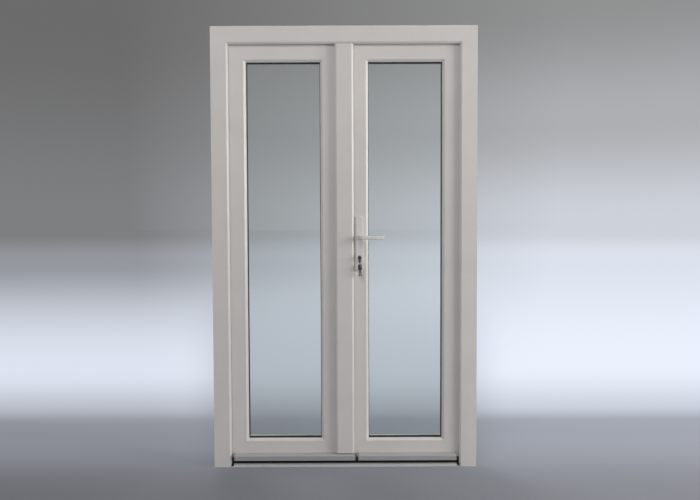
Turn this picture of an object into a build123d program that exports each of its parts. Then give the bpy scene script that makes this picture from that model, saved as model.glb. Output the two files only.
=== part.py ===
from build123d import *
import os

# Inward-opening double door of welded plastic profiles in its own frame, seen from outside.
# Millimetres. X runs to the right seen from outside, Y runs inward, Z runs up.
# The origin is on the floor at the middle of the threshold, halfway through the frame's depth.

# overall size
frame_width = 1200.0
frame_height = 2000.0
frame_depth = 70.0

# frame profile: a body, and an outer leg that laps over the sashes
frame_body_width = 58.0
leg_face_width = 70.0
leg_bevel_width = 8.0
leg_bevel_depth = 6.0
leg_thickness = 16.0

# sash profile, measured from the edge of its body towards the glass
sash_depth = 70.0
sash_face_width = 85.0
sash_bevel_width = 10.0
sash_bevel_depth = 8.0
sash_lip_thickness = 15.0
sash_body_to_rebate = 63.0
sash_flange_overlap = 20.0
sash_flange_thickness = 16.0
hardware_gap = 12.0
gasket_gap = 4.0

# hollow chambers and their steel
outer_wall = 2.8
inner_web = 1.8
profile_edge_radius = 1.5
steel_wall = 2.0
steel_clearance = 0.3
steel_end_gap = 8.0
frame_steel_chamber_start = 14.0
sash_steel_chamber_start = 16.0
fixing_hole_radius = 5.25
fixing_from_end = 250.0
fixing_count = 4

# hardware groove round the sash edge and on the astragal
groove_width = 16.0
groove_depth = 9.0
hardware_axis = 13.0

# meeting of the two leaves
meeting_half_gap = 23.0
astragal_half_width = 42.0
astragal_bevel_width = 8.0
end_clearance = 4.0
leg_end_clearance = 2.0
astragal_end_wall = 2.0

# glass unit
pane_thickness = 4.0
pane_spacing = 16.0
glass_edge_clearance = 5.0
glazing_gasket_thickness = 3.0
glazing_gasket_width = 10.0
glazing_gasket_show = 3.0
spacer_height = 10.0
spacer_inset = 3.0
bead_bevel = 6.0
seat_gap = 0.3

# sash and frame gaskets
seal_width = 5.0
seal_inset = 1.5

# threshold
threshold_height = 28.0
threshold_base_height = 3.0
threshold_lip_height = 13.0
threshold_lip_drop = 3.0
threshold_lip_wall = 2.0
connector_width = 10.0
connector_height = 14.0
connector_setback = 1.0
tread_groove_width = 2.0
tread_groove_depth = 1.0
tread_pitch = 6.0
tread_edge = 4.0

# weather bars
bar_height = 29.0
bar_threshold_clearance = 3.0
bar_projection = 26.0
bar_top_fall = 3.5
bar_nose_radius = 8.0
bar_wall = 2.0
bar_jamb_gap = 12.0
bar_meeting_gap = 12.0
bar_overhang = 46.0
bar_cap_thickness = 4.0
bar_groove_height = 1.5
bar_groove_depth = 0.8
bar_groove_rise = 10.0

# hinges
hinge_pin_radius = 5.0
hinge_barrel_radius = 9.0
hinge_pin_clearance = 0.05
hinge_height = 100.0
hinge_sash_share = 0.44
hinge_knuckle_gap = 0.5
hinge_plate_thickness = 4.0
hinge_plate_width = 34.0
hinge_sash_plate_width = 38.0
hinge_axis_from_edge = 36.0
hinge_axis_from_frame = 17.0
hinge_plate_edge = 10.0
hinge_end_distance = 180.0
hinge_pin_head = 2.0
hinge_head_inset = 1.0
hinge_edge_inset = 1.0
hinge_corner_radius = 4.0

# lever handle and plates
backset = 45.0
lever_height = 1051.0
cylinder_distance = 92.0
plate_width = 33.0
plate_height = 248.0
plate_thickness = 9.0
plate_corner_radius = 13.0
plate_edge_fillet = 2.5
plate_above_lever = 98.0
plate_collar_radius = 13.0
plate_collar_height = 3.0
plate_collar_chamfer = 0.8
lever_neck_radius = 9.0
lever_neck_clearance = 0.3
lever_neck_length = 38.0
lever_neck_overlap = 2.0
lever_neck_seat = 1.0
lever_length = 120.0
lever_section_height = 19.0
lever_section_thickness = 12.0
lever_section_radius = 5.0
lever_tip_fillet = 3.0
lever_bend_radius = 16.0
lever_bend_lead = 1.0
spindle_side = 8.0
spindle_clearance = 0.1
spindle_depth = 26.0
spindle_hole_radius = 10.0

# lock
lock_case_thickness = 15.0
lock_case_top = 24.0
lock_case_bottom = 60.0
faceplate_thickness = 3.0
faceplate_from_end = 155.0
faceplate_end_radius = 7.0
follower_hole_radius = 6.5
slot_clearance = 0.3
latch_height = 30.0
latch_thickness = 10.0
latch_projection = 10.0
latch_body_length = 26.0
latch_travel = 12.0
latch_above_lever = 32.0
latch_slope = 7.0
bolt_travel = 18.0
bolt_inset = 0.5
bolt_body_length = 30.0
deadbolt_height = 30.0
deadbolt_thickness = 9.0
deadbolt_above_cylinder = 42.0
side_bolt_radius = 5.0
side_bolt_from_strip = 32.0
side_case_height = 90.0
side_case_depth = 58.0
drive_rod_thickness = 2.5
drive_rod_width = 10.0
drive_rod_end_margin = 4.0
drive_rod_rest_gap = 1.0

# profile cylinder, its plug and the keys
cylinder_head_radius = 8.5
cylinder_stem_width = 10.0
cylinder_total_height = 33.0
cylinder_proud = 2.0
cylinder_clearance = 0.5
plug_radius = 6.5
plug_clearance = 0.05
plug_proud = 0.6
cam_gap_width = 11.0
cam_width = 10.0
cam_radius = 7.5
cam_tail_radius = 3.75
cam_finger_radius = 13.0
cam_finger_width = 6.0
cam_cavity_clearance = 0.8
cam_web_depth = 9.5
key_thickness = 2.4
key_blade_height = 8.0
key_blade_length = 28.0
key_bow_size = 24.0
key_bow_corner = 8.0
key_neck_length = 7.0
key_hole_radius = 5.0
key_hole_fillet = 0.6
key_rim = 3.0
key_cut_depths = (2.4, 1.2, 3.0, 1.8, 2.6)
key_cut_pitch = 4.0
key_cut_flat = 1.2
key_first_cut = 5.0
ring_radius = 13.0
ring_wire_radius = 0.9
ring_hang_gap = 1.85
spare_key_shift = 2.3
spare_key_turn = 28.0
spare_key_length = 55.0
spare_key_tilt = 4.0

# keepers on the astragal
keeper_proud = 8.0
keeper_width = 18.0
keeper_pocket_clearance = 0.5
keeper_end_margin = 14.0
keeper_slip = 0.3

# shoot bolts of the passive leaf
shoot_rod_width = 9.0
shoot_rod_thickness = 5.0
shoot_rod_length = 300.0
shoot_travel = 22.0
shoot_rest_setback = 1.0
shoot_tab_height = 14.0
shoot_tab_width = 7.0
shoot_tab_from_end = 240.0
shoot_slot_margin = 1.0
shoot_keeper_thickness = 3.0
shoot_keeper_length = 44.0
shoot_keeper_margin = 2.5
shoot_hole_clearance = 0.6

# levels through the depth
frame_out = -frame_depth / 2
frame_in = frame_depth / 2
leg_back = frame_out + leg_thickness
sash_out = leg_back + gasket_gap
sash_in = sash_out + sash_depth
flange_front = sash_in - sash_flange_thickness
hardware_y = flange_front - hardware_axis
lip_back = sash_out + sash_lip_thickness
glass_out = lip_back + glazing_gasket_thickness
glass_in = glass_out + 2 * pane_thickness + pane_spacing
bead_out = glass_in + glazing_gasket_thickness
groove_out = hardware_y - groove_width / 2
groove_in = hardware_y + groove_width / 2
hinge_y = frame_in + hinge_axis_from_frame

# places across and up the opening
half_width = frame_width / 2
leg_width = leg_face_width + leg_bevel_width
frame_to_sash = frame_body_width + hardware_gap
sash_x = half_width - frame_to_sash
sash_top = frame_height - frame_to_sash
sash_bottom = threshold_height + hardware_gap
rebate_x = half_width - frame_body_width
rebate_top = frame_height - frame_body_width
leg_x = half_width - leg_width
leg_top = frame_height - leg_width
hinge_x = half_width - hinge_axis_from_edge
lever_x = meeting_half_gap + backset
cylinder_z = lever_height - cylinder_distance
bar_bottom = threshold_height + bar_threshold_clearance
bar_top = bar_bottom + bar_height
astragal_body_x = meeting_half_gap - hardware_gap
astragal_top = rebate_top - end_clearance
astragal_bottom = threshold_height + end_clearance
latch_z = lever_height + latch_above_lever
deadbolt_z = cylinder_z + deadbolt_above_cylinder
shoot_strip_length = shoot_rest_setback + shoot_rod_length + shoot_tab_height
side_bolt_levels = (
    astragal_bottom + shoot_strip_length + side_bolt_from_strip,
    astragal_top - shoot_strip_length - side_bolt_from_strip,
)
hinge_levels = (
    sash_bottom + hinge_end_distance,
    (sash_bottom + sash_top) / 2,
    sash_top - hinge_end_distance,
)
far = 2 * frame_height
cut_margin = 1.0
run_out = frame_height / 2


def outline(points):
    """A flat face from its corner points in the XY plane."""
    return make_face(Polyline(*points, close=True))


def panel(u0, u1, v0, v1):
    """A rectangular face between two limits each way."""
    return outline([(u0, v0), (u1, v0), (u1, v1), (u0, v1)])


def about(middle, size):
    """The two limits of a size centred on a middle."""
    return (middle - size / 2, middle + size / 2)


def grown(pair, by):
    """Two limits moved apart by the same amount at each end."""
    return (pair[0] - by, pair[1] + by)


def softened(face, *points):
    """A section with its corners nearest to the given points rounded."""
    corners = [face.vertices().sort_by_distance((*point, 0))[0] for point in points]
    return fillet(corners, profile_edge_radius)


def block(x, y, z):
    """A box between two limits on each axis, given as pairs."""
    size = (x[1] - x[0], y[1] - y[0], z[1] - z[0])
    centre = ((x[0] + x[1]) / 2, (y[0] + y[1]) / 2, (z[0] + z[1]) / 2)
    return Pos(*centre) * Box(*size)


def rod_along_y(x, z, radius, y0, y1):
    """A round bar along Y."""
    return Pos(x, (y0 + y1) / 2, z) * Rot(90, 0, 0) * Cylinder(radius, y1 - y0)


def rod_along_x(y, z, radius, x0, x1):
    """A round bar along X."""
    return Pos((x0 + x1) / 2, y, z) * Rot(0, 90, 0) * Cylinder(radius, x1 - x0)


def extrude_x(face, x0, x1):
    """A section drawn as (y, z) and run along X."""
    return Pos(x0, 0, 0) * extrude(Plane.YZ * face, amount=x1 - x0)


def mirrored(shape):
    """The same shape on the other side of the door's middle."""
    return mirror(shape, about=Plane.YZ)


def save(name, *shapes):
    """One file for each node, holding its separate solids."""
    solids = [s for shape in shapes for s in shape.solids()]
    whole = solids[0] if len(solids) == 1 else Compound(children=solids)
    export_step(whole, f"parts/{name}.step")


# members of a mitred ring


def member(section, low, high, length, mitre_start=True):
    """A profile drawn as (across, depth), run up Z from 0 to length and mitred at its ends."""
    start_low, start_high = (low, high) if mitre_start else (0, 0)
    trapezoid = outline([(low, start_low), (high, start_high), (high, length - high), (low, length - low)])
    bar = Pos(0, 0, -run_out) * extrude(section, amount=length + 2 * run_out)
    return bar & extrude(Plane.XZ * trapezoid, amount=frame_depth * 2, both=True)


def left_upright(bar, x0, z0):
    return Pos(x0, 0, z0) * bar


def right_upright(bar, x1, z0):
    return Pos(x1, 0, z0) * mirrored(bar)


def top_rail(bar, x0, z1):
    return Pos(x0, 0, z1) * Rot(0, 90, 0) * bar


def bottom_rail(bar, x0, z0):
    return Pos(x0, 0, z0) * Rot(0, 90, 0) * mirrored(bar)


def ring(section, low, high, box):
    """Left, right, top and bottom members round the box (x0, x1, z0, z1)."""
    x0, x1, z0, z1 = box
    upright = member(section, low, high, z1 - z0)
    rail = member(section, low, high, x1 - x0)
    return (
        left_upright(upright, x0, z0),
        right_upright(upright, x1, z0),
        top_rail(rail, x0, z1),
        bottom_rail(rail, x0, z0),
    )


def joined_ring(section, low, high, box):
    """A ring whose four members are one closed loop."""
    parts = ring(section, low, high, box)
    return parts[0] + parts[1] + parts[2] + parts[3]


# profile sections


def frame_section():
    """The frame's L section: body, lapping outer leg with a bevel, and five chambers."""
    web = inner_web
    body = frame_body_width
    bevel = [(leg_face_width, frame_out), (leg_width, frame_out + leg_bevel_depth)]
    solid = outline([
        (0, frame_out),
        *bevel,
        (leg_width, leg_back),
        (body, leg_back),
        (body, frame_in),
        (0, frame_in),
    ])
    solid = softened(solid, *bevel)
    front = frame_out + outer_wall
    inside = frame_in - outer_wall
    middle_back = groove_out + web + web
    chambers = [
        panel(outer_wall, body - outer_wall, front, leg_back - web),
        outline([
            (body - outer_wall + web, front),
            (leg_face_width - outer_wall / 2, front),
            (leg_width - outer_wall, frame_out + leg_bevel_depth + outer_wall / 2),
            (leg_width - outer_wall, leg_back - outer_wall),
            (body - outer_wall + web, leg_back - outer_wall),
        ]),
        panel(outer_wall, frame_steel_chamber_start - web, leg_back, middle_back),
        panel(frame_steel_chamber_start, body - outer_wall, leg_back, middle_back),
        panel(outer_wall, body - outer_wall, middle_back + web, inside),
    ]
    for chamber in chambers:
        solid -= chamber
    return solid


def sash_section():
    """The sash's Z section: bevelled face, glazing rebate, inner flange, hardware groove, chambers."""
    web = inner_web
    wall = outer_wall
    back = sash_body_to_rebate
    bevel = [(sash_face_width - sash_bevel_width, sash_out), (sash_face_width, sash_out + sash_bevel_depth)]
    inner_edge = (-sash_flange_overlap, sash_in)
    solid = outline([
        (0, sash_out),
        *bevel,
        (sash_face_width, lip_back),
        (back, lip_back),
        (back, sash_in),
        inner_edge,
        (-sash_flange_overlap, flange_front),
        (0, flange_front),
        (0, groove_in),
        (groove_depth, groove_in),
        (groove_depth, groove_out),
        (0, groove_out),
    ])
    solid = softened(solid, *bevel, inner_edge)
    front = sash_out + wall
    steel_back = groove_out - web - steel_clearance
    chambers = [
        panel(wall, sash_steel_chamber_start - web, front, steel_back),
        panel(sash_steel_chamber_start, back - wall, front, steel_back),
        panel(groove_depth + web, back - wall, groove_out - steel_clearance, groove_in + web),
        panel(web, back - wall, groove_in + 2 * web, sash_in - wall),
        panel(wall - sash_flange_overlap, 0, flange_front + wall, sash_in - wall),
        outline([
            (back - wall + web, front),
            (sash_face_width - sash_bevel_width - web, front),
            (sash_face_width - wall, sash_out + sash_bevel_depth + wall / 2),
            (sash_face_width - wall, lip_back - wall),
            (back - wall + web, lip_back - wall),
        ]),
    ]
    for chamber in chambers:
        solid -= chamber
    return solid


def tube_section(u0, u1, y0, y1):
    """A steel box section that slides into a chamber with a small clearance."""
    gap = steel_clearance
    outer = panel(u0 + gap, u1 - gap, y0 + gap, y1 - gap)
    wall = gap + steel_wall
    return outer - panel(u0 + wall, u1 - wall, y0 + wall, y1 - wall)


def frame_steel_section():
    back = groove_out + 2 * inner_web
    return tube_section(frame_steel_chamber_start, frame_body_width - outer_wall, leg_back, back)


def sash_steel_section():
    back = groove_out - inner_web - steel_clearance
    front = sash_out + outer_wall
    return tube_section(sash_steel_chamber_start, sash_body_to_rebate - outer_wall, front, back)


# fixed frame


def fixing_holes(side):
    """Holes through one jamb for its wall fixings, as bars to cut with."""
    pitch = (frame_height - 2 * fixing_from_end) / (fixing_count - 1)
    levels = [fixing_from_end + step * pitch for step in range(fixing_count)]
    span = sorted((side * (half_width + outer_wall), side * (rebate_x - outer_wall)))
    return [rod_along_x(0, z, fixing_hole_radius, *span) for z in levels]


def make_frame():
    section = frame_section()
    jamb = member(section, 0, leg_width, frame_height, mitre_start=False)
    # the lower end is square and stands on the floor
    left = left_upright(jamb, -half_width, 0)
    right = right_upright(jamb, half_width, 0)
    head = top_rail(member(section, 0, leg_width, frame_width), -half_width, frame_height)
    steel = frame_steel_section()
    steel_length = rebate_top - steel_end_gap
    upright = Pos(0, 0, steel_end_gap) * extrude(steel, amount=steel_length - steel_end_gap)
    across = 2 * (rebate_x - steel_end_gap)
    steels = [
        left_upright(upright, -half_width, 0),
        right_upright(upright, half_width, 0),
        top_rail(extrude(steel, amount=across), -across / 2, frame_height),
    ]
    for side, index in ((-1, 0), (1, 1)):
        for hole in fixing_holes(side):
            steels[index] -= hole
            if side < 0:
                left -= hole
            else:
                right -= hole
    head -= shoot_pocket(rebate_top, 1)
    head -= shoot_keeper_plate(rebate_top, 1, cut=True)
    save("jamb_left", left)
    save("jamb_right", right)
    save("head", head)
    save("frame_reinforcement", *steels)


def make_threshold():
    """Low threshold: a metal base with an outer lip, and a dark core with a grooved tread behind it."""
    lip_end = leg_x - connector_width
    lip_back = leg_back - threshold_lip_wall / 2
    base = extrude_x(outline([
        (frame_out, 0),
        (frame_in, 0),
        (frame_in, threshold_base_height),
        (frame_out, threshold_base_height),
    ]), -rebate_x, rebate_x)
    for side in (-1, 1):
        ends = sorted((side * leg_x, side * (rebate_x + connector_width)))
        base -= block(ends, (frame_out - cut_margin, leg_back), (-cut_margin, threshold_height))
    lip = outline([
        (frame_out, 0),
        (lip_back, 0),
        (lip_back, threshold_lip_height),
        (frame_out, threshold_lip_height - threshold_lip_drop),
    ])
    wall = threshold_lip_wall
    fall = threshold_lip_drop * wall / (lip_back - frame_out)
    hollow = outline([
        (frame_out + wall, threshold_base_height),
        (lip_back - wall, threshold_base_height),
        (lip_back - wall, threshold_lip_height - fall - wall),
        (frame_out + wall, threshold_lip_height - threshold_lip_drop + fall - wall),
    ])
    base += extrude_x(lip - hollow, -lip_end, lip_end)
    tread = outline([
        (lip_back, threshold_base_height),
        (frame_in, threshold_base_height),
        (frame_in, threshold_height),
        (lip_back + gasket_gap, threshold_height),
        (lip_back, threshold_height - gasket_gap),
    ])
    groove_y = lip_back + gasket_gap + tread_edge
    while groove_y + tread_groove_width < frame_in - tread_edge:
        sides = (groove_y, groove_y + tread_groove_width)
        tread -= panel(*sides, threshold_height - tread_groove_depth, threshold_height + cut_margin)
        groove_y += tread_pitch
    core = extrude_x(tread, -rebate_x, rebate_x)
    for side in (-1, 1):
        ends = sorted((side * leg_x, side * (rebate_x + cut_margin)))
        core -= block(ends, (lip_back - cut_margin, leg_back), (0, threshold_height + cut_margin))
    core -= shoot_pocket(threshold_height, -1)
    core -= shoot_keeper_plate(threshold_height, -1, cut=True)
    connector = block(
        (lip_end, leg_x),
        (frame_out + connector_setback, lip_back),
        (threshold_base_height, connector_height),
    )
    save("threshold_base", base)
    save("threshold_core", core)
    save("threshold_connectors", connector, mirrored(connector))


def frame_seal():
    """Gasket behind the outer leg, up both jambs and along the head."""
    u0 = frame_to_sash + seal_inset
    strip = panel(u0, u0 + seal_width, leg_back, sash_out - seat_gap)
    box = (-half_width, half_width, -run_out, frame_height)
    left, right, top, _ = ring(strip, u0, u0 + seal_width, box)
    below = block((-frame_width, frame_width), (frame_out, frame_in), (-far, bar_bottom))
    save("frame_gasket", left - below, right - below, top)


def shoot_span():
    """Limits of a shoot bolt's rod across and through the astragal's groove."""
    x0 = astragal_body_x - groove_depth + keeper_slip
    return (x0, x0 + shoot_rod_thickness), about(hardware_y, shoot_rod_width)


def shoot_pocket(level, up):
    """The hole that a shoot bolt enters, from the level of the face it goes into."""
    x, y = shoot_span()
    depth = sorted((level - up, level + up * (shoot_travel + shoot_rest_setback)))
    return block(grown(x, shoot_hole_clearance), grown(y, shoot_hole_clearance), depth)


def shoot_keeper_plate(level, up, cut=False):
    """Steel plate let in flush round a shoot bolt's hole, or the recess for it."""
    x, y = shoot_span()
    middle = (x[0] + x[1]) / 2
    length = about(middle, shoot_keeper_length)
    z = sorted((level - (up if cut else 0), level + up * shoot_keeper_thickness))
    plate = block(length, grown(y, shoot_keeper_margin), z)
    return plate if cut else plate - shoot_pocket(level, up)


# leaves


def leaf_box(side):
    """The leaf's body edges as (x0, x1, z0, z1); side is -1 for the passive leaf, 1 for the active."""
    x = sorted((side * meeting_half_gap, side * sash_x))
    return (x[0], x[1], sash_bottom, sash_top)


def shrunk(box, by):
    return (box[0] + by, box[1] - by, box[2] + by, box[3] - by)


def make_sash(name, side):
    """Four mitred lengths of sash profile, their steel, the glass unit, its beads and gaskets."""
    box = leaf_box(side)
    left, right, top, bottom = ring(sash_section(), -sash_flange_overlap, sash_face_width, box)
    steels = sash_steels(box)
    if side > 0:
        tools = lock_stile_cuts()
        for tool in tools:
            left -= tool
            steels[0] -= tool
    names = ("hinge_stile", "meeting_stile") if side < 0 else ("lock_stile", "hinge_stile")
    save(f"{name}_{names[0]}", left)
    save(f"{name}_{names[1]}", right)
    save(f"{name}_top_rail", top)
    save(f"{name}_bottom_rail", bottom)
    save(f"{name}_reinforcement", *steels)
    make_glazing(name, box)


def sash_steels(box):
    """Square-cut steel tubes that stop short of the corner welds."""
    x0, x1, z0, z1 = box
    cut = sash_body_to_rebate + steel_end_gap
    section = sash_steel_section()
    upright = extrude(section, amount=z1 - z0 - 2 * cut)
    rail = extrude(section, amount=x1 - x0 - 2 * cut)
    return [
        left_upright(upright, x0, z0 + cut),
        right_upright(upright, x1, z0 + cut),
        top_rail(rail, x0 + cut, z1),
        bottom_rail(rail, x0 + cut, z0),
    ]


def glazing_gasket(low, high, carrier_y, pane_y):
    """Gasket section whose visible edge slopes from its carrier's edge down to the pane."""
    return outline([(low, carrier_y), (sash_face_width, carrier_y), (high, pane_y), (low, pane_y)])


def make_glazing(name, box):
    """Two panes with a spacer, gaskets on both faces, and four clipped beads on the inside."""
    x0, x1, z0, z1 = shrunk(box, sash_body_to_rebate + glass_edge_clearance)
    panes = [
        block((x0, x1), (y, y + pane_thickness), (z0, z1))
        for y in (glass_out, glass_in - pane_thickness)
    ]
    save(f"{name}_glass", *panes)
    spacer_low = sash_body_to_rebate + glass_edge_clearance + spacer_inset
    spacer = panel(
        spacer_low,
        spacer_low + spacer_height,
        glass_out + pane_thickness,
        glass_in - pane_thickness,
    )
    save(f"{name}_spacer", joined_ring(spacer, spacer_low, spacer_low + spacer_height, box))
    high = sash_face_width + glazing_gasket_show
    low = high - glazing_gasket_width
    gaskets = [
        joined_ring(glazing_gasket(low, high, carrier_y, pane_y), low, high, box)
        for carrier_y, pane_y in ((lip_back, glass_out), (bead_out, glass_in))
    ]
    seal_low = seal_inset - sash_flange_overlap
    seal = panel(seal_low, seal_low + seal_width, frame_in + seat_gap, flange_front)
    gaskets.append(joined_ring(seal, seal_low, seal_low + seal_width, box))
    if name == "passive":
        gaskets += astragal_seals()
    save(f"{name}_gaskets", *gaskets)
    bead = outline([
        (sash_body_to_rebate, bead_out),
        (sash_face_width, bead_out),
        (sash_face_width, sash_in - bead_bevel),
        (sash_face_width - bead_bevel, sash_in),
        (sash_body_to_rebate, sash_in),
    ])
    save(f"{name}_glazing_beads", *ring(bead, sash_body_to_rebate, sash_face_width, box))


# weather bars


def bar_outline(back):
    """Outer shape of the weather bar as (y, z): flat back, falling top, rounded nose."""
    nose = sash_out - bar_projection
    shape = outline([(back, bar_bottom), (back, bar_top), (nose, bar_top - bar_top_fall), (nose, bar_bottom)])
    corner = shape.vertices().sort_by(Axis.X)[:2].sort_by(Axis.Y)[-1]
    return fillet(corner, bar_nose_radius)


def bar_hollow(back):
    """The open space under the bar's skin."""
    nose = sash_out - bar_projection + bar_wall
    shape = outline([
        (back - bar_wall, bar_bottom - bar_wall),
        (back - bar_wall, bar_top - bar_wall),
        (nose, bar_top - bar_top_fall - bar_wall),
        (nose, bar_bottom - bar_wall),
    ])
    corner = shape.vertices().sort_by(Axis.X)[:2].sort_by(Axis.Y)[-1]
    return fillet(corner, bar_nose_radius - bar_wall)


def make_weather_bars():
    """A bar on each leaf; the passive one runs past the meeting, clear of the active leaf's face."""
    hinge_end = leg_x - bar_jamb_gap
    nose = sash_out - bar_projection
    groove_z = (bar_bottom + bar_groove_rise, bar_bottom + bar_groove_rise + bar_groove_height)
    groove = panel(nose - cut_margin, nose + bar_groove_depth, *groove_z)
    section = bar_outline(sash_out) - bar_hollow(sash_out) - groove
    thick = bar_cap_thickness
    passive = extrude_x(section, thick - hinge_end, bar_overhang - thick)
    overhang_cut = block(
        (-meeting_half_gap, bar_overhang + cut_margin),
        (leg_back, sash_out + cut_margin),
        (bar_bottom - cut_margin, bar_top + cut_margin),
    )
    passive -= overhang_cut
    cap = bar_outline(sash_out)
    passive_caps = [
        extrude_x(cap, -hinge_end, thick - hinge_end),
        extrude_x(cap, bar_overhang - thick, bar_overhang) - overhang_cut,
    ]
    start = bar_overhang + bar_meeting_gap
    active = extrude_x(section, start + thick, hinge_end - thick)
    active_caps = [extrude_x(cap, start, start + thick), extrude_x(cap, hinge_end - thick, hinge_end)]
    save("passive_weather_bar", passive)
    save("passive_weather_bar_caps", *passive_caps)
    save("active_weather_bar", active)
    save("active_weather_bar_caps", *active_caps)


# astragal on the passive leaf


def astragal_section():
    """T section: an outer leg over both leaves, and a body on the passive leaf's edge."""
    half = astragal_half_width
    flat = half - astragal_bevel_width
    bevel = frame_out + leg_bevel_depth
    left, right = -meeting_half_gap, astragal_body_x
    solid = outline([
        (-flat, frame_out),
        (flat, frame_out),
        (half, bevel),
        (half, leg_back),
        (right, leg_back),
        (right, groove_out),
        (right - groove_depth, groove_out),
        (right - groove_depth, groove_in),
        (right, groove_in),
        (right, frame_in),
        (left, frame_in),
        (left, leg_back),
        (-half, leg_back),
        (-half, bevel),
    ])
    return softened(solid, (-flat, frame_out), (flat, frame_out), (half, bevel), (-half, bevel))


def astragal_chambers():
    """The chambers of the astragal's body, and those of its leg."""
    wall, web = outer_wall, inner_web
    left, right = -meeting_half_gap, astragal_body_x
    flat = astragal_half_width - astragal_bevel_width
    body = [
        panel(left + wall, right - wall, sash_out + web, groove_out - web),
        panel(left + wall, right - groove_depth - web, groove_out, frame_in - wall),
    ]
    leg = [
        panel(*sorted((side * web, side * (flat - web))), frame_out + wall, leg_back - wall)
        for side in (-1, 1)
    ]
    return body, leg


def astragal_seals():
    """Strips between the astragal's leg and the two leaves."""
    x1 = astragal_half_width - seal_inset
    z = (bar_top + leg_end_clearance, leg_top - leg_end_clearance)
    strip = block((x1 - seal_width, x1), (leg_back, sash_out - seat_gap), z)
    return [strip, mirrored(strip)]


def make_astragal():
    """The astragal with its leg cut back at both ends, and end walls that close its chambers."""
    bar = Pos(0, 0, astragal_bottom) * extrude(astragal_section(), amount=astragal_top - astragal_bottom)
    wide = grown((-astragal_half_width, astragal_half_width), cut_margin)
    leg_ends = (bar_top + leg_end_clearance, leg_top - leg_end_clearance)
    bar -= block(wide, (frame_out - cut_margin, sash_out), (leg_ends[1], frame_height))
    bar -= block(wide, (frame_out - cut_margin, leg_back), (0, leg_ends[0]))
    body, leg = astragal_chambers()
    for chambers, ends in ((body, (astragal_bottom, astragal_top)), (leg, leg_ends)):
        low, high = grown(ends, -astragal_end_wall)
        for chamber in chambers:
            bar -= Pos(0, 0, low) * extrude(chamber, amount=high - low)
    save("astragal", bar)


def keeper(z0, z1, pockets):
    """Block in the astragal's groove, standing proud into the hardware gap, with bolt pockets."""
    root = astragal_body_x - groove_depth
    inner = block(
        (root, astragal_body_x),
        (groove_out + keeper_slip, groove_in - keeper_slip),
        (z0, z1),
    )
    outer = block(
        (astragal_body_x, astragal_body_x + keeper_proud),
        about(hardware_y, keeper_width),
        (z0, z1),
    )
    body = inner + outer
    for pocket in pockets:
        body -= pocket
    return body


def make_keepers():
    gap = keeper_pocket_clearance
    x = grown((astragal_body_x - groove_depth, astragal_body_x + keeper_proud), cut_margin)
    latch_y = grown(about(hardware_y, latch_thickness), gap)
    latch_zs = grown(about(latch_z, latch_height), gap)
    bolt_y = grown(about(hardware_y, deadbolt_thickness), gap)
    bolt_zs = grown(about(deadbolt_z, deadbolt_height), gap)
    main = keeper(
        bolt_zs[0] - keeper_end_margin,
        latch_zs[1] + keeper_end_margin,
        [block(x, latch_y, latch_zs), block(x, bolt_y, bolt_zs)],
    )
    keepers = [main]
    reach = side_bolt_radius + gap + keeper_end_margin
    for z in side_bolt_levels:
        hole = rod_along_x(hardware_y, z, side_bolt_radius + gap, *x)
        keepers.append(keeper(z - reach, z + reach, [hole]))
    save("lock_keepers", *keepers)


def make_shoot_bolts():
    """Top and bottom bolts with thumb tabs, behind slotted cover strips in the astragal's groove."""
    x, y = shoot_span()
    strip_x = (astragal_body_x - faceplate_thickness, astragal_body_x)
    strip_y = (groove_out + keeper_slip, groove_in - keeper_slip)
    strips = []
    for name, end, up in (("top", astragal_top, 1), ("bottom", astragal_bottom, -1)):
        tip = end - up * shoot_rest_setback
        rod = block(x, y, sorted((tip, tip - up * shoot_rod_length)))
        tab_z = end - up * shoot_tab_from_end
        tab_y = about(hardware_y, shoot_tab_width)
        tab = block((x[1], astragal_body_x), tab_y, about(tab_z, shoot_tab_height))
        save(f"{name}_shoot_bolt", rod + tab)
        strip = block(strip_x, strip_y, sorted((end, end - up * shoot_strip_length)))
        reach = shoot_tab_height / 2 + shoot_slot_margin
        slot = sorted((tab_z - up * reach, tab_z + up * (reach + shoot_travel)))
        strips.append(strip - block(grown(strip_x, cut_margin), grown(tab_y, shoot_hole_clearance), slot))
    save("shoot_bolt_strips", *strips)
    plates = [shoot_keeper_plate(rebate_top, 1), shoot_keeper_plate(threshold_height, -1)]
    save("shoot_bolt_keepers", *plates)


# hinges


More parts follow.
